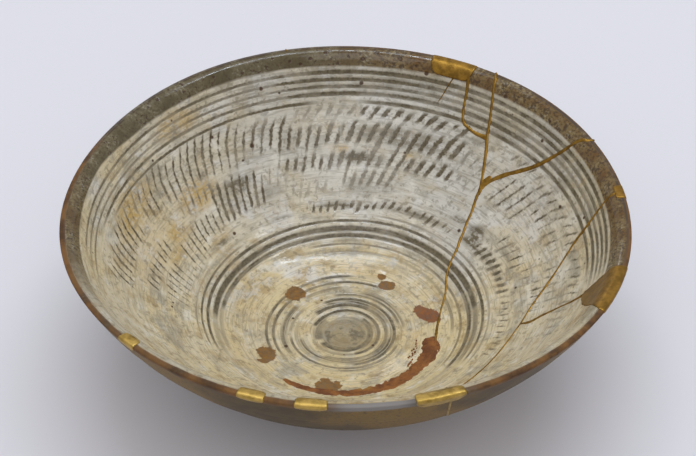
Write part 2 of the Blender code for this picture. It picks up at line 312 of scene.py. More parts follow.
def boolean(solid, other, operation):
    """Joins, cuts or keeps the common part of two solids, in place."""
    modifier = solid.modifiers.new(operation.title(), "BOOLEAN")
    modifier.operation = operation
    modifier.object = other
    modifier.solver = "MANIFOLD"
    applied(solid)
    bpy.data.objects.remove(other)


def applied(piece):
    """Makes a piece's modifiers part of its mesh."""
    graph = bpy.context.evaluated_depsgraph_get()
    result = bpy.data.meshes.new_from_object(piece.evaluated_get(graph))
    piece.modifiers.clear()
    old = piece.data
    piece.data = result
    bpy.data.meshes.remove(old)


chip_outlines = {name: chip_outline(*chip) for name, chip in CHIPS.items()}
chip_outlines["gold_rim_fill_right_large"] = RIGHT_LARGE_CHIP

bowl = turned("bowl", bowl_profile(), TURN_STEPS)
for name, line in BREAKS.items():
    boolean(bowl, joint_cut(name, line), "DIFFERENCE")
for name, outline in chip_outlines.items():
    boolean(bowl, chip_cut(name, outline), "DIFFERENCE")


def islands(solid):
    """The loose parts of a mesh as objects, largest first."""
    bpy.ops.object.select_all(action="DESELECT")
    solid.select_set(True)
    bpy.context.view_layer.objects.active = solid
    bpy.ops.mesh.separate(type="LOOSE")
    parts = list(bpy.context.selected_objects)
    return sorted(parts, key=lambda part: -len(part.data.vertices))


# Each ceramic node of the CAD model and the piece that stands for it
SHERDS = {
    "bowl_body": "thrown_bowl",
    "rim_sherd_front_right": "front_right_sherd",
    "rim_sherd_back": "back_sherd",
    "rim_sherd_right": "right_sherd",
    "rim_sherd_back_small": "small_back_sherd",
}


def middle(piece):
    """The middle of a piece's box."""
    corners = [Vector(corner) for corner in piece.bound_box]
    return sum(corners, Vector()) / 8


ceramic = {}
loose = islands(bowl)
for node in SHERDS:
    low, high = (Vector(corner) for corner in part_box(node))
    nearest = min(loose, key=lambda piece: (middle(piece) - (low + high) / 2).length)
    loose.remove(nearest)
    nearest.name = SHERDS[node]
    ceramic[node] = nearest
# Specks of clay that the cuts left loose
for crumb in loose:
    bpy.data.objects.remove(crumb)


# --- Out of true ---
# The bowl warped a little in the kiln: its lip is neither quite round nor quite level.

# Lobes of the lip, outward and upward: each a size, a count a turn and the azimuth of a high point
LIP_OUT = ((0.00027, 2, 21), (0.00049, 3, 84))
LIP_UP = ((0.00052, 1, 68), (0.00042, 2, 80), (0.00039, 4, 36))
# The warp starts at these radii and grows up to the lip
OUT_FROM_RADIUS = 0.040
UP_FROM_RADIUS = 0.063


def smooth(low, high, values):
    """0 below low, 1 above high and smooth between, for arrays of numbers."""
    share = np.clip((values - low) / (high - low), 0, 1)
    return share * share * (3 - 2 * share)


def waves(lobes, turn):
    """Lobes added together, at a turn in radians."""
    return sum(size * np.cos(count * (turn - math.radians(peak))) for size, count, peak in lobes)


def points_of(mesh):
    """A mesh's points, with their radii and their turns in radians."""
    flat = np.empty(len(mesh.vertices) * 3, "f")
    mesh.vertices.foreach_get("co", flat)
    points = flat.reshape(-1, 3).astype(float)
    return points, np.hypot(points[:, 0], points[:, 1]), np.arctan2(points[:, 1], points[:, 0])


def put_back(mesh, points):
    mesh.vertices.foreach_set("co", points.astype("f").ravel())
    mesh.update()


def moved_out_of_true(mesh):
    points, radius, turn = points_of(mesh)
    points[:, 2] += waves(LIP_UP, turn) * smooth(UP_FROM_RADIUS, RIM_RADIUS, radius)
    out = waves(LIP_OUT, turn) * smooth(OUT_FROM_RADIUS, RIM_RADIUS, radius)
    points[:, :2] *= (1 + out / np.maximum(radius, 1e-6))[:, None]
    put_back(mesh, points)


# --- Carving and scars ---
# Rings were cut through the white slip on the wheel and rows of short strokes chattered round
# the wall between them. The kiln supports left five bare scars in the well.

# Each ring: its radius as a share of the rim's, half its width, its depth in mm, and its arcs,
# each from one azimuth to another and how dark
RINGS = (
    (0.914, 0.0044, 0.10, ((-14, 112, 0.90), (108, 190, 0.75), (215, 318, 0.60))),
    (0.900, 0.0042, 0.10, ((-14, 110, 0.90), (108, 196, 0.65), (215, 318, 0.60))),
    (0.886, 0.0040, 0.10, ((-14, 112, 0.80), (110, 196, 0.65), (215, 318, 0.50))),
    (0.871, 0.0050, 0.13, ((-14, 108, 0.95), (104, 176, 0.90), (217, 316, 0.65))),
    (0.853, 0.0046, 0.13, ((-10, 86, 0.85), (100, 168, 1.00), (220, 314, 0.60))),
    (0.543, 0.0030, 0.06, ((158, 202, 0.45),)),
    (0.523, 0.0038, 0.07, ((-34, 76, 0.50), (140, 204, 0.85))),
    (0.501, 0.0054, 0.12, ((-32, 206, 0.88),)),
    (0.475, 0.0096, 0.16, ((-32, 4, 0.65), (4, 184, 1.00), (184, 208, 0.40))),
    (0.452, 0.0076, 0.12, ((-36, 176, 0.90), (176, 204, 0.40))),
    (0.422, 0.0048, 0.06, ((-34, 48, 0.75), (48, 108, 0.65))),
    (0.393, 0.0060, 0.04, ((-6, 34, 0.70), (30, 100, 0.50))),
    (0.290, 0.0055, 0.10, ((86, 205, 0.85),)),
    (0.264, 0.0060, 0.10, ((62, 212, 0.85),)),
    (0.238, 0.0060, 0.08, ((94, 130, 0.65),)),
    (0.228, 0.0060, 0.10, ((142, 214, 0.75),)),
    (0.216, 0.0050, 0.06, ((-95, -40, 0.60), (6, 72, 0.65))),
    (0.201, 0.0058, 0.08, ((-170, -18, 0.75), (14, 100, 0.70), (140, 180, 0.50))),
    (0.180, 0.0070, 0.12, ((-78, 116, 0.90), (160, 252, 0.35))),
    (0.166, 0.0048, 0.08, ((-168, -8, 0.75), (20, 66, 0.50))),
    (0.148, 0.0052, 0.10, ((-120, 60, 0.70),)),
    (0.152, 0.0090, 0.12, ((56, 136, 0.90),)),
    (0.122, 0.0070, 0.12, ((-72, 160, 0.95), (-150, -72, 0.45))),
    (0.093, 0.0080, 0.12, ((-150, 52, 0.85),)),
    (0.094, 0.0200, 0.04, ((132, 200, 0.65),)),
    (0.044, 0.0400, 0.04, ((-190, 190, 0.60),)),
)
# How far off centre the rings lie, as lobes, and where the unslipped band under the lip starts
RING_SHIFT = ((0.0057, 1, 60), (0.0024, 2, 35), (0.0027, 3, -38))
BAND_START = 0.9255

# The strokes: how many a turn, lobes where they crowd together, how many of them a stroke would
# lean past from the middle to the rim, and the share of the radius where the lean doubles
STROKES_A_TURN = 117
STROKE_CROWD = ((1.55, 1, 233), (0.7, 2, 188))
STROKE_LEAN = 12.0
STEEPER_FROM = 0.808

# Rows of strokes: from and to an azimuth, from and to a share of the rim radius, and how dark
STROKE_ROWS = (
    (40, 56, 0.822, 0.846, 0.5), (56, 87, 0.826, 0.850, 0.95), (87, 105, 0.820, 0.850, 0.5),
    (44, 56, 0.764, 0.806, 0.6), (56, 92, 0.752, 0.812, 0.95), (92, 112, 0.745, 0.806, 0.85),
    (46, 56, 0.705, 0.738, 0.5), (56, 78, 0.694, 0.742, 0.85), (79, 93, 0.690, 0.738, 0.9),
    (92, 112, 0.680, 0.726, 0.85), (73, 92, 0.622, 0.685, 0.55), (96, 112, 0.600, 0.645, 0.4),
    (46, 80, 0.556, 0.585, 0.95), (78, 106, 0.545, 0.573, 0.95), (106, 120, 0.560, 0.600, 0.3),
    (106, 120, 0.752, 0.832, 0.75), (119, 137, 0.765, 0.846, 0.85), (135, 152, 0.760, 0.842, 0.85),
    (121, 151, 0.742, 0.790, 0.7), (110, 122, 0.655, 0.708, 0.45), (119, 138, 0.610, 0.716, 1.0),
    (133, 152, 0.600, 0.666, 0.9), (135, 150, 0.694, 0.736, 0.65), (150, 163, 0.575, 0.655, 0.75),
    (150, 168, 0.800, 0.845, 0.6), (153, 161, 0.750, 0.806, 0.9), (166, 190, 0.755, 0.838, 0.85),
    (161, 185, 0.664, 0.713, 0.8), (167, 185, 0.600, 0.652, 0.85), (150, 188, 0.560, 0.598, 0.55),
    (-30, -10, 0.768, 0.818, 0.55), (-16, 5, 0.800, 0.834, 0.75), (4, 31, 0.802, 0.836, 0.8),
    (30, 42, 0.822, 0.846, 0.7), (8, 31, 0.748, 0.792, 0.75), (-12, 9, 0.708, 0.765, 0.5),
    (27, 42, 0.700, 0.802, 0.7), (-13, 2, 0.665, 0.704, 0.8), (11, 27, 0.618, 0.676, 0.7),
    (0, 12, 0.640, 0.682, 0.55), (-30, -14, 0.556, 0.600, 0.65), (-15, 3, 0.560, 0.598, 0.65),
    (3, 15, 0.558, 0.596, 0.75), (14, 33, 0.556, 0.598, 0.9), (-126, -54, 0.765, 0.832, 0.6),
)
# Grey patches where the slip is thin: azimuth, radius, half sizes in degrees and radii, strength
THIN_SLIP = (
    (75, 0.782, 20, 0.034, 0.65), (86, 0.715, 10, 0.026, 0.65), (36, 0.600, 5, 0.045, 1.0),
    (45, 0.612, 7, 0.018, 0.7), (20, 0.632, 7, 0.012, 0.6), (20, 0.576, 14, 0.014, 0.6),
    (34, 0.570, 8, 0.010, 0.7), (64, 0.570, 18, 0.016, 0.7), (92, 0.560, 15, 0.015, 0.85),
    (127, 0.688, 8, 0.030, 0.85), (92, 0.715, 7, 0.012, 0.7), (118, 0.630, 8, 0.018, 0.4),
    (146, 0.566, 9, 0.012, 0.8), (155, 0.535, 25, 0.012, 0.5), (117, 0.545, 6, 0.008, 0.6),
    (98, 0.395, 26, 0.026, 0.6), (60, 0.370, 14, 0.030, 0.4), (20, 0.455, 30, 0.035, 0.3),
    (45, 0.905, 66, 0.034, 0.45), (88, 0.712, 5, 0.014, 0.8), (55, 0.455, 9, 0.020, 0.5),
    (-50, 0.470, 18, 0.050, 0.3), (-30, 0.230, 14, 0.020, 0.5),
)
# Stains soaked into the slip, stated as the grey patches are, and so are the next three tables
OCHRE_STAINS = (
    (142, 0.720, 10, 0.050, 0.95), (163, 0.820, 12, 0.050, 0.9), (157, 0.685, 5, 0.040, 0.9),
    (164, 0.645, 7, 0.025, 0.8), (145, 0.580, 6, 0.020, 0.7), (92, 0.740, 3, 0.014, 0.9),
    (137, 0.890, 8, 0.030, 0.8), (172, 0.740, 16, 0.100, 0.3), (71, 0.738, 3, 0.012, 0.6),
    (17, 0.720, 26, 0.160, 0.1), (160, 0.380, 28, 0.060, 0.35), (78, 0.330, 22, 0.040, 0.5),
    (-150, 0.420, 25, 0.080, 0.3), (5, 0.300, 40, 0.060, 0.05), (-15, 0.130, 30, 0.050, 0.4),
    (-10, 0.260, 18, 0.030, 0.45), (172, 0.150, 16, 0.040, 0.5), (-100, 0.250, 20, 0.015, 0.5),
)
# Where the lip fired rusty, where a painted sheen of the pale surroundings greys it, and where the
# unslipped band is brown
RUSTY_LIP = (
    (-160, 1.0, 42, 0.3, 1.0), (-112, 1.0, 24, 0.3, 1.0), (-58, 1.0, 12, 0.3, 0.8),
    (-36, 1.0, 30, 0.3, 1.0), (168, 1.0, 16, 0.05, 0.7), (20, 1.004, 56, 0.02, 1.6),
    (80, 1.004, 20, 0.02, 0.9),
)
LIP_SHEEN_PATCHES = ((-84, 1.0, 11, 0.3, 1.0),)
BROWN_BAND = (
    (-74, 0.95, 15, 0.4, 1.0), (10, 0.97, 40, 0.3, 1.0), (60, 0.97, 38, 0.3, 1.0),
    (-170, 0.97, 30, 0.3, 0.5),
)
# Scars of the kiln supports: azimuth, radius, half sizes in degrees and radii, and a lean
SPUR_SCARS = (
    (133.5, 0.274, 9.0, 0.036, 0.3), (57.0, 0.293, 6.4, 0.024, -0.3), (65.0, 0.320, 3.6, 0.015, 0.0),
    (15.5, 0.314, 10.5, 0.031, -1.2), (-153.0, 0.320, 8.5, 0.040, 0.5), (-146.5, 0.348, 3.0, 0.022, 0.0),
    (-100.0, 0.315, 9.0, 0.044, 0.0), (-104.0, 0.280, 4.5, 0.016, 0.0),
)
# Iron spots: azimuth, share of the rim radius and size in mm
IRON_SPOTS = (
    (112.0, 0.900, 0.50), (138.5, 0.957, 0.50), (148.0, 0.857, 0.35), (104.0, 0.943, 0.40),
    (99.0, 0.946, 0.40), (118.2, 0.780, 0.60), (128.5, 0.832, 0.45), (138.5, 0.566, 0.45),
    (36.0, 0.900, 0.45), (36.5, 0.937, 0.35), (71.3, 0.934, 0.55), (86.8, 0.900, 0.50),
    (86.7, 0.946, 0.50), (9.5, 0.869, 0.40), (43.0, 0.584, 0.45), (-158.5, 0.230, 0.45),
    (-30.5, 0.121, 0.30), (160.0, 0.206, 0.35), (57.0, 0.852, 0.35), (19.0, 0.829, 0.45),
    (95.5, 0.962, 0.45), (90.0, 0.950, 0.30), (83.5, 0.966, 0.40), (78.0, 0.955, 0.50),
    (74.0, 0.944, 0.40), (101.5, 0.936, 0.45), (108.0, 0.957, 0.35), (123.0, 0.945, 0.35),
    (131.0, 0.962, 0.35), (50.5, 0.936, 0.50),
)


def apart(azimuth, other):
    """Degrees between azimuths, the short way round."""
    return (azimuth - other + 180) % 360 - 180


def patches(fields, azimuth, share):
    """Soft round patches, added together."""
    total = np.zeros_like(share)
    for turn, radius, half_turn, half_radius, strength in fields:
        off = np.hypot(apart(azimuth, turn) / half_turn, (share - radius) / half_radius)
        total += strength * (1 - smooth(0.35, 1.15, off))
    return np.clip(total, 0, 1)


def chance(cell, row):
    """An even spread of numbers from 0 to 1, always the same for the same stroke."""
    return (np.sin(cell * 12.9898 + row * 78.233) * 43758.5453) % 1


def between(azimuth, start, end, soft):
    """1 inside an arc, fading out over soft degrees to each side of its ends."""
    half = (end - start) / 2
    return 1 - smooth(half - soft, half + soft, np.abs(apart(azimuth, start + half)))


def stroke_phase(azimuth, share):
    """The number of strokes passed on the way round from the near side, with their lean."""
    round_from_near = (azimuth + 90) % 360 - 90
    phase = round_from_near / 360 * STROKES_A_TURN + waves(STROKE_CROWD, np.radians(azimuth))
    return phase + STROKE_LEAN * (share + np.maximum(share - STEEPER_FROM, 0))


def stroke_strength(azimuth, share):
    """How dark the strokes are: each runs a little longer or shorter than its row."""
    total = np.zeros_like(share)
    cell = np.floor(stroke_phase(azimuth, share))
    for number, (start, end, low, high, strength) in enumerate(STROKE_ROWS):
        luck, stretch = chance(cell, number), chance(cell, number + 50)
        soft = 0.007 + 0.09 * (high - low)
        top = high + 0.014 * (stretch - 0.5)
        foot = low + 0.020 * (luck - 0.5)
        row = smooth(foot - soft, foot + soft, share) * (1 - smooth(top - soft, top + soft, share))
        row *= strength * (0.7 + 0.3 * luck) * between(azimuth, start, end, 1.5)
        total = np.maximum(total, row)
    return total


def stroke_breadth(azimuth, share):
    """Broad strokes at the back, fine ones at the sides."""
    back = between(azimuth, 54, 94, 4) + 0.6 * between(azimuth, 94, 114, 4)
    low = between(azimuth, 2, 36, 4) * (1 - smooth(0.60, 0.64, share))
    smeared = between(azimuth, 119, 138, 3) * (1 - smooth(0.72, 0.74, share))
    return np.clip(back + low + 0.6 * smeared, 0, 1)


def off_centre(azimuth, share):
    """The radius as the wheel had it: the rings lie a little off centre."""
    return share - waves(RING_SHIFT, np.radians(azimuth))


def ring_strength(azimuth, share):
    """How dark the rings are."""
    total = np.zeros_like(share)
    place = off_centre(azimuth, share)
    for centre, half, _, arcs in RINGS:
        near = 1 - smooth(half + 0.002, half + 0.006, np.abs(place - centre))
        for start, end, dark in arcs:
            total = np.maximum(total, dark * near * between(azimuth, start, end, 5))
    return total


def scar_field(azimuth, share):
    """1 in the middle of a scar and 0 at its edge."""
    field = np.full_like(share, -2.0)
    for turn, radius, half_turn, half_radius, lean in SPUR_SCARS:
        along = apart(azimuth, turn) / half_turn
        off = (share - radius - lean * along * 0.02) / half_radius
        field = np.maximum(field, 1 - np.hypot(along, off))
    return field


def on_face(azimuth, radius):
    """A place on the finished inside face."""
    turn = math.radians(azimuth)
    out = waves(LIP_OUT, turn) * smooth(OUT_FROM_RADIUS, RIM_RADIUS, radius)
    rise = waves(LIP_UP, turn) * smooth(UP_FROM_RADIUS, RIM_RADIUS, radius)
    height = inside(radius - out)[1]
    if radius - out > LIP_START:
        height = float(np.interp(radius - out, *zip(*sorted(lip()[OUTER_ROUND + 2:]))))
    return (radius * math.cos(turn), radius * math.sin(turn), height + rise)


# Where the lip starts and is whole, by radius and by height, for its glaze and for its tone, and
# the same for the outside by distance from the focus
LIP_ZONE = ((0.0724, 0.0737), (LIP_HEIGHT - 0.0022, LIP_HEIGHT - 0.0008))
LIP_TONE_ZONE = ((0.0728, 0.0738), (LIP_HEIGHT - 0.0030, LIP_HEIGHT - 0.0012))
OUTSIDE_ZONE = (0.0805, 0.0821)
STROKE_DEPTH = 0.00013
SCAR_DEPTH = 0.00014
# What throwing left, swells inside and ridges outside: their size and how close they lie
THROWING_SWELL = (0.00006, 46)
THROWING_RIDGE = (0.00010, 1250)


def carving(azimuth, share, strokes, scar):
    """How deep the inside face is cut by its rings, strokes and scars and swelled by throwing."""
    place = off_centre(azimuth, share)
    depth = np.zeros_like(share)
    for centre, half, deep, arcs in RINGS:
        cut = sum(between(azimuth, start, end, 7) for start, end, _ in arcs)
        groove = np.exp(-((place - centre) / half) ** 2)
        depth += deep * 0.001 * groove * (0.15 + 0.85 * np.minimum(cut, 1))
    phase = stroke_phase(azimuth, share)
    depth += STROKE_DEPTH * strokes * (0.5 - 0.5 * np.cos(math.tau * phase))
    depth += SCAR_DEPTH * smooth(-0.05, 0.25, scar)
    size, pace = THROWING_SWELL
    return depth + size * np.sin(share * pace + np.radians(azimuth))


def throwing_ridges(azimuth, height):
    """The ridges that fingers left outside, from above the foot to below the lip."""
    size, pace = THROWING_RIDGE
    ridges = size * np.sin(height * pace + np.radians(azimuth))
    ridges *= smooth(0.006, 0.02, height)
    return ridges * (1 - smooth(0.040, 0.048, height))


def carved(mesh):
    """Cuts a sherd's two faces and notes on its points what its material has to know."""
    points, radius, _ = points_of(mesh)
    from_focus = points - np.array(FOCUS)
    reach = np.linalg.norm(from_focus, axis=1)
    outward = from_focus / reach[:, None]
    inner = 1 - smooth(*OUTSIDE_ZONE, reach)
    over_lip, edge = (
        smooth(*radii, radius) * smooth(*heights, points[:, 2])
        for radii, heights in (LIP_ZONE, LIP_TONE_ZONE)
    )
    moved_out_of_true(mesh)
    points, radius, turn = points_of(mesh)
    azimuth, share = np.degrees(turn), radius / RIM_RADIUS
    strokes = stroke_strength(azimuth, share)
    scar = scar_field(azimuth, share)
    face = inner * (1 - over_lip)
    ridges = throwing_ridges(azimuth, points[:, 2]) * (1 - inner)
    depth = carving(azimuth, share, strokes, scar) * face + ridges
    put_back(mesh, points + outward * depth[:, None])
    place = off_centre(azimuth, share)
    # The slip is cooler towards the back, where its grey-white is partly a painted sheen of the light
    # above
    from_back = smooth(20, 90, np.abs(apart(azimuth, 80)))
    notes = {
        "inner": inner,
        "edge": edge,
        "strokes": strokes,
        "thin": patches(THIN_SLIP, azimuth, share),
        "stain": patches(OCHRE_STAINS, azimuth, share),
        "warm": np.clip(0.1 + 0.60 * from_back + 0.6 * (1 - smooth(0.40, 0.47, share)), 0, 1),
        "scar": scar,
        "rust": patches(RUSTY_LIP, azimuth, share),
        "unslipped": 0.35 + 0.65 * between(azimuth, -30, 205, 14),
        "brown": patches(BROWN_BAND, azimuth, share),
        "pale": patches(LIP_SHEEN_PATCHES, azimuth, share),
        "rings": ring_strength(azimuth, share),
        "broad": stroke_breadth(azimuth, share),
        "place": place,
        "band_place": place - BAND_START - 0.011 * between(azimuth, 156, 215, 8),
        "fine": between(azimuth, 104, 200, 6) * smooth(0.60, 0.70, share),
        "phase": stroke_phase(azimuth, share),
    }
    for name, values in notes.items():
        mesh.attributes.new(name, "FLOAT", "POINT").data.foreach_set("value", values.astype("f"))


def shaded(mesh, angle=40):
    """Smooth shading, but for edges sharper than an angle in degrees."""
    mesh.shade_smooth()
    mesh.set_sharp_from_angle(angle=math.radians(angle))


def dressed(piece, material, angle=40):
    """Gives a piece one material and its shading."""
    piece.data.materials.clear()
    piece.data.materials.append(material)
    shaded(piece.data, angle)


class Finish:
    """A material being mixed. Each method adds a node or two and gives the output."""

    def __init__(self, name):
        self.material = bpy.data.materials.new(name)
        self.material.use_nodes = True
        self.tree = self.material.node_tree
        self.surface = self.tree.nodes["Principled BSDF"]
        self.place = self.tree.nodes.new("ShaderNodeTexCoord").outputs["Object"]

    def put(self, socket, value):
        if isinstance(value, bpy.types.NodeSocket):
            self.tree.links.new(value, socket)
        elif isinstance(value, tuple) and len(value) == 3 and socket.type == "RGBA":
            socket.default_value = (*value, 1)
        else:
            socket.default_value = value

    def set(self, **values):
        """Puts values into the surface's own sockets."""
        for name, value in values.items():
            self.put(self.surface.inputs[name.replace("_", " ")], value)

    def node(self, kind, inputs, **settings):
        """A node of a kind, with its settings and what goes into its sockets by name or number."""
        node = self.tree.nodes.new(kind)
        for name, setting in settings.items():
            setattr(node, name, setting)
        for socket, value in inputs.items():
            self.put(node.inputs[socket], value)
        return node

    def maths(self, operation, *values, clamp=False):
        inputs = dict(enumerate(values))
        return self.node("ShaderNodeMath", inputs, operation=operation, use_clamp=clamp).outputs[0]

    def times(self, first, second, clamp=False):
        return self.maths("MULTIPLY", first, second, clamp=clamp)

    def plus(self, first, second):
        return self.maths("ADD", first, second)

    def most(self, first, second):
        return self.maths("MAXIMUM", first, second)

    def line(self, value, slope, start, clamp=False):
        """A value times a slope, added to a start."""
        return self.maths("MULTIPLY_ADD", value, slope, start, clamp=clamp)

    def swayed(self, value, by, amount, clamp=False):
        """A value pushed up and down by a noise, whose middle is a half."""
        return self.line(self.maths("SUBTRACT", by, 0.5), amount, value, clamp=clamp)

    def vector(self, operation, *values):
        node = self.node("ShaderNodeVectorMath", dict(enumerate(values)), operation=operation)
        return node.outputs["Value" if operation in ("LENGTH", "DISTANCE") else "Vector"]

    def scaled(self, vector, scale):
        inputs = {0: vector, "Scale": scale}
        return self.node("ShaderNodeVectorMath", inputs, operation="SCALE").outputs[0]

    def parts(self):
        """The three parts of the place on the object."""
        return self.node("ShaderNodeSeparateXYZ", {0: self.place}).outputs

    def field(self, name):
        """What was noted on the mesh under a name."""
        return self.node("ShaderNodeAttribute", {}, attribute_name=name).outputs["Fac"]

    def noise(self, scale, detail=3.0, roughness=0.5, at=None):
        inputs = {"Scale": scale, "Detail": detail, "Roughness": roughness}
        return self.node("ShaderNodeTexNoise", {"Vector": at or self.place, **inputs}).outputs["Fac"]

    def cells(self, scale):
        """How far the middle of the nearest cell is, and that cell's own colour."""
        node = self.node("ShaderNodeTexVoronoi", {"Vector": self.place, "Scale": scale})
        return node.outputs["Distance"], node.outputs["Color"]

    def cracks(self, scale):
        """How far the nearest edge between cells is."""
        inputs = {"Vector": self.place, "Scale": scale}
        return self.node("ShaderNodeTexVoronoi", inputs, feature="DISTANCE_TO_EDGE").outputs["Distance"]

    def step(self, value, low, high):
        """0 below low, 1 above high and smooth between, or turned round if low is above high."""
        start, end = (0.0, 1.0) if low < high else (1.0, 0.0)
        inputs = {
            "Value": value, "From Min": min(low, high), "From Max": max(low, high),
            "To Min": start, "To Max": end,
        }
        node = self.node("ShaderNodeMapRange", inputs, interpolation_type="SMOOTHSTEP")
        return node.outputs["Result"]

    def mix(self, share, first, second):
        inputs = {"Factor": share, 6: first, 7: second}
        return self.node("ShaderNodeMix", inputs, data_type="RGBA").outputs[2]

    def tinted(self, tone, where, strength, tint):
        """A tone with a tint laid over it where a mask says, to a strength."""
        return self.mix(self.times(where, strength), tone, tint)

    def bump(self, height, distance):
        return self.node("ShaderNodeBump", {"Height": height, "Distance": distance}).outputs["Normal"]


def stoneware():
    """Grey stoneware with brushed and carved white slip inside, under a clear glaze."""
    mat = Finish("slip_glazed_stoneware")
    mix, tinted, step, line, field = mat.mix, mat.tinted, mat.step, mat.line, mat.field
    times, plus, most, swayed = mat.times, mat.plus, mat.most, mat.swayed
    x, y, z = mat.parts()
    flat = mat.vector("MULTIPLY", mat.place, (1, 1, 0))
    share = mat.maths("DIVIDE", mat.vector("LENGTH", flat), RIM_RADIUS)
    cloud = mat.noise(45, 3)
    blotch = mat.noise(170, 4, 0.62)
    grain = mat.noise(900, 4, 0.65)
    pits = mat.noise(620, 3, 0.6)
    streaks = mat.node("ShaderNodeCombineXYZ", {"Z": times(share, 26)}).outputs[0]
    streak_place = mat.vector("ADD", mat.scaled(flat, 26), streaks)
    brush = mat.noise(2.0, 5, 0.62, at=streak_place)
    fine_brush = mat.noise(6.5, 3, 0.6, at=streak_place)

    # The rings, a little uneven along their length
    ring_place = swayed(field("place"), mat.noise(38, 3), 0.003)
    ragged_ring = swayed(ring_place, grain, 0.005)
    narrow = line(field("fine"), 0.6, 1.0)
    rings = 0.0
    for centre, half, *_ in RINGS:
        off = times(mat.maths("ABSOLUTE", mat.maths("SUBTRACT", ragged_ring, centre)), narrow)
        rings = most(rings, step(off, half * 1.5, half * 0.5))
    uneven = line(step(plus(brush, blotch), 0.80, 1.20), 0.50, 0.78)
    rings = times(times(rings, uneven), field("rings"), clamp=True)

    # The strokes: rows of short radial marks with ragged edges
    phase = swayed(field("phase"), mat.noise(70, 2), 0.45)
    strength = field("strokes")
    off = mat.maths("ABSOLUTE", mat.maths("SUBTRACT", mat.maths("FRACT", phase), 0.5))
    ragged = times(mat.maths("SUBTRACT", grain, 0.5), 0.55)
    off = plus(off, swayed(ragged, blotch, 0.45))
    off = line(strength, -0.095, off)
    off = line(field("broad"), -0.12, off)
    stroke = times(step(off, 0.17, -0.05), step(strength, 0.0, 0.75))
    stroke = times(stroke, line(step(blotch, 0.3, 0.55), 0.35, 0.72))

    # How well the slip covers the clay: thin patches, brush marks, pits, crackle, the worn middle
    patchy = step(plus(plus(brush, grain), blotch), 1.25, 1.70)
    thin = times(field("thin"), line(patchy, 1.1, 0.15), clamp=True)
    brushed = times(step(fine_brush, 0.48, 0.66), 0.38)
    pitted = times(step(pits, 0.53, 0.66), 0.48)
    crackle = times(step(mat.cracks(340), 0.07, 0.02), step(cloud, 0.49, 0.62))
    crackle = times(crackle, step(share, 0.60, 0.68))
    worn = most(most(brushed, pitted), times(crackle, 0.32))
    disc = step(swayed(share, blotch, 0.05), 0.094, 0.072)
    disc = times(disc, line(step(grain, 0.36, 0.58), 0.35, 0.65))
    disc = times(disc, line(step(blotch, 0.40, 0.56), 0.42, 0.54))
    bare = most(most(rings, stroke), most(most(thin, disc), worn))
    band_edge = swayed(field("band_place"), brush, 0.006)
    band = times(step(band_edge, -0.002, 0.003), field("unslipped"))

    # The slip itself, warm, and grey-white at the back partly as a painted sheen of the light above; and
    # the clay under it
    warm = swayed(field("warm"), cloud, 1.6, clamp=True)
    slip = mix(warm, (0.575, 0.546, 0.486), (0.645, 0.520, 0.285))
    slip = tinted(slip, step(brush, 0.46, 0.66), 0.55, (0.42, 0.370, 0.270))
    slip = tinted(slip, step(blotch, 0.52, 0.70), 0.55, (0.76, 0.725, 0.64))
    tan_share = line(warm, 0.65, 0.15)
    slip = tinted(slip, step(blotch, 0.48, 0.34), tan_share, (0.40, 0.280, 0.120))
    grey = step(mat.noise(95, 4, 0.65), 0.52, 0.66)
    slip = tinted(slip, grey, 0.55, (0.29, 0.265, 0.215))
    # Whitish patches on the back half only, partly chalky slip and partly a painted sheen of the light
    # above
    chalk_and_sheen = step(mat.noise(120, 4, 0.7, at=mat.vector("ADD", mat.place, (3, 1, 2))), 0.52, 0.64)
    chalk_and_sheen = times(chalk_and_sheen, step(y, -0.012, 0.016))
    slip = tinted(slip, chalk_and_sheen, 0.6, (0.66, 0.64, 0.60))
    soaked = step(plus(blotch, grain), 0.75, 1.10)
    slip = tinted(slip, field("stain"), soaked, (0.50, 0.340, 0.120))
    clay = mix(step(grain, 0.32, 0.68), (0.080, 0.060, 0.030), (0.158, 0.126, 0.074))
    inside_tone = mix(bare, slip, clay)

    # Iron specks all over, and the larger spots
    speck_far, speck_tone = mat.cells(300)
    odd = mat.node("ShaderNodeSeparateColor", {0: speck_tone}).outputs[0]
    speck = times(step(speck_far, 0.16, 0.06), step(odd, 0.955, 0.965))
    for azimuth, radius, size in IRON_SPOTS:
        far = mat.vector("DISTANCE", mat.place, on_face(azimuth, radius * RIM_RADIUS))
        far = swayed(far, grain, 0.0005)
        speck = most(speck, step(far, size * 0.0016, size * 0.0007))

    # The unslipped band and the lip, olive to iron brown and flecked
    flecks = mat.noise(1300, 3, 0.6)
    halves = step(blotch, 0.3, 0.7)
    olive = mix(halves, (0.085, 0.066, 0.030), (0.150, 0.122, 0.066))
    brown = mix(halves, (0.118, 0.056, 0.011), (0.215, 0.152, 0.060))
    fired = mix(swayed(field("brown"), cloud, 0.8, clamp=True), olive, brown)
    spots = line(field("brown"), 0.05, swayed(mat.noise(720, 3, 0.65), blotch, 0.5))
    dark = times(step(flecks, 0.515, 0.585), line(field("brown"), 0.30, 0.38))
    dark = most(dark, times(step(spots, 0.58, 0.66), 0.85))
    fired = mix(dark, fired, (0.050, 0.026, 0.009))
    light = times(step(flecks, 0.44, 0.36), step(blotch, 0.46, 0.62))
    fired = tinted(fired, light, 0.5, (0.33, 0.30, 0.23))
    inside_tone = mix(band, inside_tone, fired)
    inside_tone = tinted(inside_tone, speck, 0.95, (0.052, 0.021, 0.004))

    # The kiln-support scars, orange at the left and redder at the right
    scar_edge = swayed(field("scar"), blotch, 1.4)
    scar = step(swayed(scar_edge, pits, 0.8), -0.03, 0.10)
    coarse = step(grain, 0.35, 0.7)
    orange_scar = mix(coarse, (0.115, 0.046, 0.004), (0.255, 0.117, 0.016))
    red_scar = mix(coarse, (0.125, 0.032, 0.006), (0.265, 0.090, 0.020))
    scar_tone = mix(step(x, 0.016, 0.021), orange_scar, red_scar)
    scar_share = line(grain, 0.6, 0.62, clamp=True)
    inside_tone = tinted(inside_tone, scar, scar_share, scar_tone)
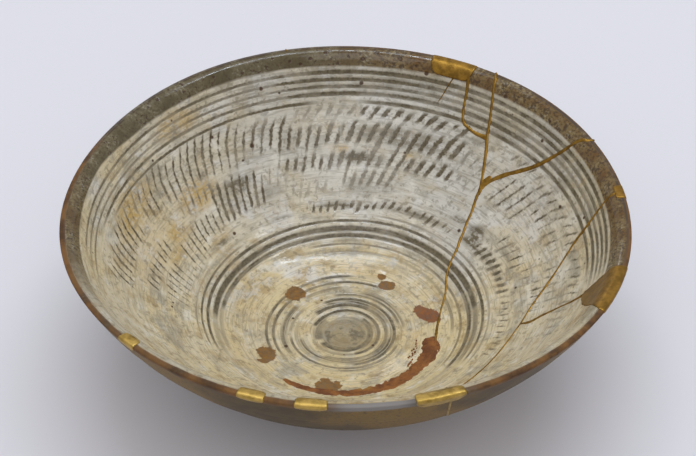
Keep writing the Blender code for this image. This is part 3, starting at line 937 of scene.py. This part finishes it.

    # The outside, honey brown over dark glaze, painted darker still as shade, down to bare clay at the
    # foot
    dark_glaze = step(blotch, 0.35, 0.65)
    # These glaze tones are darker than the glaze itself: painted shade of dark surroundings
    outside_tone = mix(dark_glaze, (0.047, 0.025, 0.002), (0.090, 0.055, 0.007))
    honey = line(field("brown"), 0.16, mat.noise(30, 3))
    outside_tone = mix(step(honey, 0.47, 0.66), outside_tone, (0.170, 0.095, 0.010))
    outside_tone = tinted(outside_tone, step(flecks, 0.56, 0.62), 0.6, (0.04, 0.022, 0.009))
    foot = step(swayed(z, cloud, 0.006), 0.0062, 0.0052)
    foot_clay = mix(grain, (0.16, 0.085, 0.045), (0.30, 0.19, 0.115))
    outside_tone = mix(foot, outside_tone, foot_clay)
    tone = mix(field("inner"), outside_tone, inside_tone)

    # The lip, where the glaze drew thin, with a painted sheen on its near side
    rusty = swayed(field("rust"), cloud, 1.2, clamp=True)
    rusty_tone = mix(step(blotch, 0.40, 0.62), (0.168, 0.073, 0.012), (0.072, 0.032, 0.009))
    lip_tone = mix(step(blotch, 0.62, 0.42), fired, (0.050, 0.032, 0.018))
    lip_tone = mix(rusty, lip_tone, rusty_tone)
    # A painted sheen: the near lip lightened to grey as if it reflected the pale surroundings
    lip_sheen_mask = swayed(field("pale"), cloud, 0.8, clamp=True)
    lip_tone = tinted(lip_tone, lip_sheen_mask, field("pale"), (0.195, 0.178, 0.162))
    edge = swayed(field("edge"), blotch, 0.9)
    tone = mix(step(edge, 0.35, 0.75), tone, lip_tone)

    height = line(fine_brush, 0.09, times(pits, 0.06))
    height = line(brush, 0.24, height)
    height = mat.maths("SUBTRACT", height, times(most(rings, stroke), 0.4))
    height = mat.maths("SUBTRACT", height, times(speck, 0.7))
    dry = most(field("rust"), times(field("brown"), 0.8))
    outer = mat.maths("SUBTRACT", 1.0, field("inner"))
    rough = line(step(blotch, 0.32, 0.64), 0.20, 0.05)
    foot_rough = times(foot, mat.maths("SUBTRACT", 0.75, field("inner")))
    edge_rough = times(times(edge, dry), 0.8)
    for other in (times(scar, 0.7), times(edge, 0.3), edge_rough, times(outer, 0.55), foot_rough):
        rough = most(rough, other)
    mat.set(Base_Color=tone, Roughness=rough, Normal=mat.bump(height, 0.00016))
    mat.surface.inputs["Specular IOR Level"].default_value = 0.45
    return mat.material


glazed = stoneware()
for node, piece in ceramic.items():
    carved(piece.data)
    dressed(piece, glazed)
    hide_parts(node)
    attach(piece, "root")


# --- Gold seams ---
# The sherds are glued with lacquer, which fills the joints, stands a little proud on both faces
# and is dusted with gold while tacky. Each seam is one bead, with a web through the wall.

SEAM_SPACING = 0.00045
SEAM_TOP = 0.0749
SEAM_TAPER = 0.0007
# How far a bead stands out of the face and how far its edges lie under it
SEAM_PROUD = 0.00020
SEAM_SUNK = 0.00022
# The web between the two beads, and the thinnest wall that has one
WEB_WIDTH = 0.00044
WEB_BEVEL = 0.00012
WEBBED_WALL = 0.0009


def reaches(points):
    """Leans and distances from the focus along an outline, to read a face between its points."""
    pairs = sorted(
        (math.atan2(radius, FOCUS.z - height), math.hypot(radius, FOCUS.z - height))
        for radius, height in points
    )
    return [pair[0] for pair in pairs], [pair[1] for pair in pairs]


inner_face = reaches([*(inside(radius) for radius in inside_radii()), *lip()[OUTER_ROUND - 1:]])
outer_wall = [outside(FOOT_LEAN + (LIP_LEAN - FOOT_LEAN) * i / 60) for i in range(60)]
outer_face = reaches([*outer_wall, *lip()[:OUTER_ROUND]])


def bead_outline(half, near, far, proud, through):
    """A seam cut across: a bead inside, a web and, where it goes through, a bead outside."""
    outline = []
    for j in range(9):
        swing = math.pi * j / 8
        lift = (proud + SEAM_SUNK) * math.sin(swing) ** 0.8 - SEAM_SUNK
        outline.append((half * math.cos(swing), near - lift))
    web = min(WEB_WIDTH / 2, half * 0.8)
    if through and far - near > WEBBED_WALL:
        web_start, web_end = near + SEAM_SUNK + WEB_BEVEL, far - SEAM_SUNK - WEB_BEVEL
        back_half, back_lift = half * 0.85, far + proud
    else:
        web_start, web_end = near + SEAM_SUNK + 0.00005, near + SEAM_SUNK + 0.00010
        back_half, back_lift = web, near + SEAM_SUNK + 0.00020
    outline += [(-web, web_start), (-web, web_end)]
    for j in range(7):
        swing = math.pi * j / 6
        depth = web_end + WEB_BEVEL + (back_lift - web_end - WEB_BEVEL) * math.sin(swing)
        outline.append((-back_half * math.cos(swing), depth))
    return [*outline, (web, web_end), (web, web_start)]


def closed_tube(bm, sections):
    """Faces from each ring of points to the next, and over both ends."""
    for here, there in zip(sections, sections[1:]):
        for j in range(len(here)):
            k = (j + 1) % len(here)
            bm.faces.new((here[j], here[k], there[k], there[j]))
    bm.faces.new(sections[0])
    bm.faces.new(sections[-1])


def seam(name, line, through=True):
    """A bead of gold along a line, on the inside and, past the foot, on the outside too."""
    line = [(turn, min(radius, SEAM_TOP), width) for turn, radius, width in line]
    line = smooth_line(line, SEAM_SPACING)
    rays = [direction(azimuth, radius) for azimuth, radius, _ in line]
    bm = bmesh.new()
    sections = []
    for i, (ray, (_, radius, width)) in enumerate(zip(rays, line)):
        side = across(rays, i)
        near, far = (np.interp(lean_of(radius), *face) for face in (inner_face, outer_face))
        jitter = noise.noise(ray * 240) * 0.22 + noise.noise(ray * 900) * 0.14
        half = width * 0.0005 * (1 + jitter)
        from_start, from_end = (i + 0.35) * SEAM_SPACING, (len(line) - i - 0.65) * SEAM_SPACING
        taper = min(1.0, from_start / SEAM_TAPER, from_end / SEAM_TAPER)
        half *= math.sqrt(max(taper, 0.05))
        proud = SEAM_PROUD * (1 + noise.noise(ray * 300 + Vector((3, 1, 7))) * 0.5)
        outline = bead_outline(half, near, far, proud, through and radius > THROUGH_RADIUS)
        sections.append([bm.verts.new(FOCUS + (ray * away + side * off)) for off, away in outline])
    closed_tube(bm, sections)
    return finished(name, bm)


# Gold that parts no sherd, stated as the breaks are: where three seams meet, a hairline crack
# below the back fill, and a touch on the lip
FORK = (
    (44.6, 0.0576, 1.2), (44.9, 0.0566, 2.6), (45.2, 0.0556, 2.2), (45.2, 0.0543, 1.2),
    (44.8, 0.0530, 0.9),
)
HAIRLINE = ((63.6, 0.0709, 0.45), (65.0, 0.0694, 0.38), (66.3, 0.0671, 0.32), (66.9, 0.0662, 0.25))
LIP_TOUCH = ((104.0, 0.0733, 0.5), (104.2, 0.0740, 0.6), (104.3, 0.0748, 0.6))


def gilded():
    """Gold dusted over lacquer, painted paler on the near side as if more brightly lit."""
    mat = Finish("gold_over_lacquer")
    blotch = mat.noise(420, 4, 0.6)
    grain = mat.noise(3500, 3, 0.6)
    halves = mat.step(blotch, 0.35, 0.65)
    tone = mat.mix(halves, (0.200, 0.108, 0.015), (0.335, 0.182, 0.029))
    # A painted-light copy of the gold, paler and brighter, used on the near side
    painted_lit_gold = mat.mix(halves, (0.300, 0.190, 0.038), (0.505, 0.335, 0.088))
    _, y, _ = mat.parts()
    tone = mat.mix(mat.step(y, -0.040, -0.050), tone, painted_lit_gold)
    worn = mat.step(mat.plus(blotch, mat.times(grain, 0.4)), 0.62, 0.56)
    tone = mat.tinted(tone, worn, 0.2, (0.12, 0.055, 0.015))
    height = mat.plus(blotch, mat.times(grain, 0.5))
    rough = mat.line(grain, 0.25, 0.28)
    mat.set(Base_Color=tone, Roughness=rough, Normal=mat.bump(height, 0.00004))
    mat.surface.inputs["Metallic"].default_value = 0.85
    return mat.material


gold = gilded()
SEAM_NETWORKS = {
    "gold_seams_back": ("back", "back_sherd_left", "right_back"),
    "gold_seams_right": ("right", "right_cross"),
}
for node, names in SEAM_NETWORKS.items():
    network = seam(f"{node}_bead", BREAKS[names[0]])
    for name in names[1:]:
        boolean(network, seam(name, BREAKS[name]), "UNION")
    if node == "gold_seams_back":
        for line in (FORK, HAIRLINE, LIP_TOUCH):
            boolean(network, seam("branch", line, through=False), "UNION")
    moved_out_of_true(network.data)
    dressed(network, gold, angle=60)
    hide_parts(node)
    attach(network, "root")


# --- Gold fills ---
# Where a chip of the lip was lost, lacquer putty makes up the shape and is gilded as the seams.

FILL_PROUD = 0.00022
FILL_VOXEL = 0.00022
FILL_UNEVEN = 0.00005


def lip_ring(lift):
    """The top of the bowl alone, a little swollen, for cutting the fills from."""
    low = 0.0600
    wall_lean = math.asin(low / INSIDE_SPHERE)
    outer = [outside(wall_lean + (LIP_LEAN - 0.02 - wall_lean) * i / 12, lift) for i in range(13)]
    inner = [inside(LIP_START - 0.0100 * i / 12, lift) for i in range(1, 13)]
    return [*outer, *lip(lift), *inner, outer[0]]


gold_ring = turned("gold_ring", lip_ring(FILL_PROUD), 360)
for node, outline in chip_outlines.items():
    fill = gold_ring.copy()
    fill.data = gold_ring.data.copy()
    bpy.context.collection.objects.link(fill)
    fill.name = node.replace("gold_rim_fill", "lip_fill")
    boolean(fill, chip_cut(f"{node}_block", outline), "INTERSECT")
    remesh = fill.modifiers.new("Even", "REMESH")
    remesh.mode = "VOXEL"
    remesh.voxel_size = FILL_VOXEL
    soften = fill.modifiers.new("Soften", "SMOOTH")
    soften.factor = 0.6
    soften.iterations = 6
    applied(fill)
    for vertex in fill.data.vertices:
        away = (vertex.co - FOCUS).normalized()
        vertex.co += away * FILL_UNEVEN * noise.noise(vertex.co * 700)
    moved_out_of_true(fill.data)
    dressed(fill, gold, angle=70)
    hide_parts(node)
    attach(fill, "root")
bpy.data.objects.remove(gold_ring)


# --- Red lacquer stroke ---
# A smear of red lacquer left in the well by an old repair, from a thick head at the main seam
# round to a worn tail. It is thin, broken at its edges and keeps traces of gold.

# Its middle line from tail to head, stated as the breaks are
STROKE = (
    (-126.0, 0.0271, 1.8), (-121.0, 0.0271, 2.8), (-112.0, 0.0272, 3.2), (-104.0, 0.0270, 4.0),
    (-97.0, 0.0270, 4.4), (-90.0, 0.0270, 4.4), (-84.0, 0.0268, 5.2), (-70.0, 0.0263, 6.4),
    (-56.0, 0.0259, 6.4), (-42.0, 0.0255, 5.6), (-30.0, 0.0252, 6.4), (-22.0, 0.0249, 7.0),
    (-15.0, 0.0240, 6.0), (-9.0, 0.0234, 4.0),
)
LACQUER_THICKNESS = 0.00034
LACQUER_SUNK = 0.00011
LACQUER_ROUGH = 0.00026
# Crumbs of the lacquer lie beside the stroke: how many, along which azimuths and at which radius
CRUMBS = 18
CRUMB_ARC = (-41.0, -11.0)
CRUMB_RADIUS = 0.0204


def smear(bm, line, steps):
    """A thin bed of lacquer whose rough top dips under the glaze towards its edges."""
    line = smooth_line(line, 0.00035)
    rays = [direction(azimuth, radius) for azimuth, radius, _ in line]
    sections = []
    for i, (ray, (_, radius, width)) in enumerate(zip(rays, line)):
        side = across(rays, i)
        near = np.interp(lean_of(radius), *inner_face)
        half = width * 0.0005
        section = []
        for j in range(steps + 1):
            off = 2 * j / steps - 1
            spot = ray * near + side * half * off
            rough = noise.fractal(spot * 520, 0.7, 2.0, 4)
            body = LACQUER_THICKNESS * (1 - abs(off) ** 3) - LACQUER_SUNK + LACQUER_ROUGH * rough
            section.append(bm.verts.new(FOCUS + spot - ray * body))
        for off in (1.0, -1.0):
            section.append(bm.verts.new(FOCUS + ray * (near + 0.0005) + side * half * off))
        sections.append(section)
    closed_tube(bm, sections)


def red_lacquer():
    """Blotched, scuffed red lacquer with traces of gold."""
    mat = Finish("worn_red_lacquer")
    blotch = mat.noise(260, 4, 0.6)
    grain = mat.noise(1500, 4, 0.65)
    tone = mat.mix(mat.step(blotch, 0.35, 0.65), (0.140, 0.044, 0.010), (0.280, 0.104, 0.020))
    tone = mat.tinted(tone, mat.step(grain, 0.5, 0.75), 0.6, (0.07, 0.022, 0.008))
    tone = mat.tinted(tone, mat.step(mat.noise(110, 3), 0.56, 0.66), 0.8, (0.32, 0.165, 0.030))
    height, rough = mat.line(grain, 0.6, blotch), mat.line(grain, 0.3, 0.45)
    mat.set(Base_Color=tone, Roughness=rough, Normal=mat.bump(height, 0.00015))
    mat.surface.inputs["Specular IOR Level"].default_value = 0.3
    return mat.material


bm = bmesh.new()
smear(bm, STROKE, 24)
scatter = random.Random(11)
first, last = CRUMB_ARC
for i in range(CRUMBS):
    azimuth = first + (last - first) * (i + 0.7 * scatter.random()) / CRUMBS
    radius = CRUMB_RADIUS + scatter.uniform(-0.0007, 0.0006) + max(0.0, -28.0 - azimuth) * 0.00016
    width = scatter.uniform(0.40, 0.75)
    turn = scatter.uniform(0.6, 1.1)
    crumb = ((azimuth - turn, radius, 0.3), (azimuth, radius, width), (azimuth + turn, radius, 0.3))
    smear(bm, crumb, 6)
stroke = finished("lacquer_smear", bm)
dressed(stroke, red_lacquer(), angle=60)
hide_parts("red_lacquer_stroke")
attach(stroke, "root")


# --- Floor, lights and camera ---
# A pale matt surface under soft light from above and beyond the bowl.

def pale_floor():
    mat = Finish("pale_floor")
    tone = mat.mix(mat.noise(3, 2), (0.705, 0.692, 0.728), (0.745, 0.732, 0.768))
    mat.set(Base_Color=tone)
    mat.surface.inputs["Roughness"].default_value = 0.85
    return mat.material


bm = bmesh.new()
bmesh.ops.create_grid(bm, x_segments=2, y_segments=2, size=2.5)
floor = finished("floor", bm)
for polygon in floor.data.polygons:
    if polygon.normal.z < 0:
        polygon.flip()
floor.data.materials.append(pale_floor())


def soft_light(name, azimuth, elevation, distance, size, power, tone=(1, 1, 1)):
    """A soft box facing the bowl, its long side level and from left to right."""
    data = bpy.data.lights.new(name, "AREA")
    data.shape = "RECTANGLE"
    data.size, data.size_y = size
    data.energy = power
    data.color = tone
    lamp = bpy.data.objects.new(name, data)
    turn, rise = math.radians(azimuth), math.radians(elevation)
    back = Vector((math.cos(rise) * math.cos(turn), math.cos(rise) * math.sin(turn), math.sin(rise)))
    side = (Vector((1, 0, 0)) - back * back.x).normalized()
    facing = Matrix((side, back.cross(side), back)).transposed()
    lamp.matrix_world = Matrix.Translation(back * distance + Vector((0, 0, 0.03))) @ facing.to_4x4()
    bpy.context.collection.objects.link(lamp)


soft_light("overhead", 96, 78, 1.5, (1.2, 0.9), 3.3, (0.97, 0.98, 1.0))
soft_light("glint", 60, 79, 1.5, (1.3, 0.065), 6.4, (0.78, 0.89, 1.0))
soft_light("beyond", 100, 28, 1.8, (0.45, 0.14), 0.8)
soft_light("front", -95, 55, 1.8, (1.2, 1.2), 6.2)
world = bpy.data.worlds.new("room")
world.use_nodes = True
room = world.node_tree.nodes["Background"]
room.inputs["Color"].default_value = (0.97, 0.97, 1.0, 1)
room.inputs["Strength"].default_value = 0.58
bpy.context.scene.world = world
bpy.context.scene.view_settings.view_transform = "Standard"

CAMERA_PLACE = (0, -0.4138, LIP_HEIGHT + 0.3351)
camera_data = bpy.data.cameras.new("camera")
camera_data.lens = 104.5
camera_data.sensor_width = 36
camera_data.clip_start = 0.01
camera = bpy.data.objects.new("camera", camera_data)
pitch, yaw, roll = math.radians(39.55), math.radians(0.06), math.radians(0.9)
forward = Vector((math.sin(yaw) * math.cos(pitch), math.cos(yaw) * math.cos(pitch), -math.sin(pitch)))
level = Vector((math.cos(yaw), -math.sin(yaw), 0))
upward = level.cross(forward)
right = level * math.cos(roll) + upward * math.sin(roll)
up = upward * math.cos(roll) - level * math.sin(roll)
turned_to = Matrix((right, up, -forward)).transposed()
camera.matrix_world = Matrix.Translation(CAMERA_PLACE) @ turned_to.to_4x4()
bpy.context.collection.objects.link(camera)
bpy.context.scene.camera = camera
